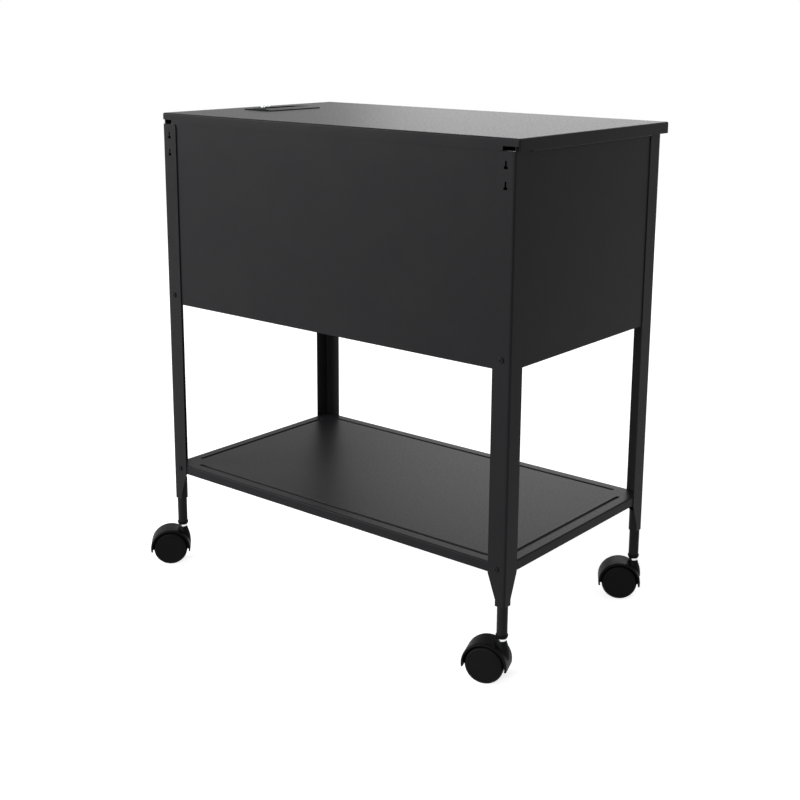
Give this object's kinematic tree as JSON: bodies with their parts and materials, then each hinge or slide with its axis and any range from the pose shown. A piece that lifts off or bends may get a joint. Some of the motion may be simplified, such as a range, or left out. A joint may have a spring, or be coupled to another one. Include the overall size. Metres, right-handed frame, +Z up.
{
  "type": "mobile file cabinet",
  "caption": "Black steel rolling file cabinet: lidded tub for hanging folders with lock and end-lifting lid, open shelf below, angle legs and twin-wheel casters.",
  "frame": {"origin": "on the floor, midway between the four caster swivel axes", "axes": "+Z up; +X along the cabinet to the end where the lid is hinged; -Y is the front"},
  "size_m": [0.6552, 0.3935, 0.6812],
  "materials": {
    "powder_coat": "satin black powder coat",
    "galvanised_steel": "galvanised sheet",
    "bright_zinc": "bright zinc plate",
    "caster_nylon": "moulded, lightly textured",
    "rubber": "soft, matt",
    "socket_plastic": "moulded",
    "pull_plastic": "moulded, satin"
  },
  "bodies": {
    "cabinet": {"front_left_leg": "powder_coat", "front_right_leg": "powder_coat", "rear_left_leg": "powder_coat", "rear_right_leg": "powder_coat", "front_panel": "powder_coat", "rear_panel": "powder_coat", "left_end_panel": "powder_coat", "right_end_panel": "powder_coat", "tub_floor": "powder_coat", "shelf": "powder_coat", "front_folder_rail": "galvanised_steel", "rear_folder_rail": "galvanised_steel", "rail_brackets": "galvanised_steel", "lock_strike": "galvanised_steel", "lid_bumpers": "rubber", "tub_screws": "powder_coat", "tub_nuts": "bright_zinc", "shelf_screws": "powder_coat", "shelf_nuts": "bright_zinc", "caster_sockets": "socket_plastic", "body_hinge_leaf": "powder_coat", "hinge_pin": "bright_zinc", "front_left_stem": "bright_zinc", "front_right_stem": "bright_zinc", "rear_left_stem": "bright_zinc", "rear_right_stem": "bright_zinc"},
    "lid": {"lid_hinge_leaf": "powder_coat", "lid_shell": "powder_coat", "lid_pull": "pull_plastic", "lock_housing": "bright_zinc", "lock_nut": "bright_zinc"},
    "lock": {"lock_plug": "bright_zinc", "lock_cam": "bright_zinc"},
    "front_left_caster": {"front_left_hood": "caster_nylon", "front_left_axle": "bright_zinc"},
    "front_left_outer": {"front_left_outer_wheel": "caster_nylon"},
    "front_left_inner": {"front_left_inner_wheel": "caster_nylon"},
    "front_right_caster": {"front_right_hood": "caster_nylon", "front_right_axle": "bright_zinc"},
    "front_right_outer": {"front_right_outer_wheel": "caster_nylon"},
    "front_right_inner": {"front_right_inner_wheel": "caster_nylon"},
    "rear_left_caster": {"rear_left_hood": "caster_nylon", "rear_left_axle": "bright_zinc"},
    "rear_left_outer": {"rear_left_outer_wheel": "caster_nylon"},
    "rear_left_inner": {"rear_left_inner_wheel": "caster_nylon"},
    "rear_right_caster": {"rear_right_hood": "caster_nylon", "rear_right_axle": "bright_zinc"},
    "rear_right_outer": {"rear_right_outer_wheel": "caster_nylon"},
    "rear_right_inner": {"rear_right_inner_wheel": "caster_nylon"}
  },
  "joints": [
    {"name": "lid_hinge", "type": "hinge", "parent": "cabinet", "child": "lid", "pos_m": [0.3038, 0, 0.6635], "axis": [0, 1, 0], "range_deg": [0, 95]},
    {"name": "lock_turn", "type": "hinge", "parent": "lid", "child": "lock", "pos_m": [-0.2735, 0.005, 0.678], "axis": [0, 0, 1], "range_deg": [0, 90]},
    {"name": "front_left_swivel", "type": "hinge", "parent": "cabinet", "child": "front_left_caster", "pos_m": [-0.295, -0.164, 0.064], "axis": [0, 0, 1], "continuous": true},
    {"name": "front_left_outer_roll", "type": "hinge", "parent": "front_left_caster", "child": "front_left_outer", "pos_m": [-0.3082, -0.17767, 0.025], "axis": [0.7193, -0.6947, 0], "continuous": true},
    {"name": "front_left_inner_roll", "type": "hinge", "parent": "front_left_caster", "child": "front_left_inner", "pos_m": [-0.3082, -0.17767, 0.025], "axis": [0.7193, -0.6947, 0], "continuous": true},
    {"name": "front_right_swivel", "type": "hinge", "parent": "cabinet", "child": "front_right_caster", "pos_m": [0.295, -0.164, 0.064], "axis": [0, 0, 1], "continuous": true},
    {"name": "front_right_outer_roll", "type": "hinge", "parent": "front_right_caster", "child": "front_right_outer", "pos_m": [0.27726, -0.17081, 0.025], "axis": [0.3584, -0.9336, 0], "continuous": true},
    {"name": "front_right_inner_roll", "type": "hinge", "parent": "front_right_caster", "child": "front_right_inner", "pos_m": [0.27726, -0.17081, 0.025], "axis": [0.3584, -0.9336, 0], "continuous": true},
    {"name": "rear_left_swivel", "type": "hinge", "parent": "cabinet", "child": "rear_left_caster", "pos_m": [-0.295, 0.164, 0.064], "axis": [0, 0, 1], "continuous": true},
    {"name": "rear_left_outer_roll", "type": "hinge", "parent": "rear_left_caster", "child": "rear_left_outer", "pos_m": [-0.30997, 0.1523, 0.025], "axis": [0.6157, -0.788, 0], "continuous": true},
    {"name": "rear_left_inner_roll", "type": "hinge", "parent": "rear_left_caster", "child": "rear_left_inner", "pos_m": [-0.30997, 0.1523, 0.025], "axis": [0.6157, -0.788, 0], "continuous": true},
    {"name": "rear_right_swivel", "type": "hinge", "parent": "cabinet", "child": "rear_right_caster", "pos_m": [0.295, 0.164, 0.064], "axis": [0, 0, 1], "continuous": true},
    {"name": "rear_right_outer_roll", "type": "hinge", "parent": "rear_right_caster", "child": "rear_right_outer", "pos_m": [0.27889, 0.15393, 0.025], "axis": [0.5299, -0.848, 0], "continuous": true},
    {"name": "rear_right_inner_roll", "type": "hinge", "parent": "rear_right_caster", "child": "rear_right_inner", "pos_m": [0.27889, 0.15393, 0.025], "axis": [0.5299, -0.848, 0], "continuous": true}
  ]
}
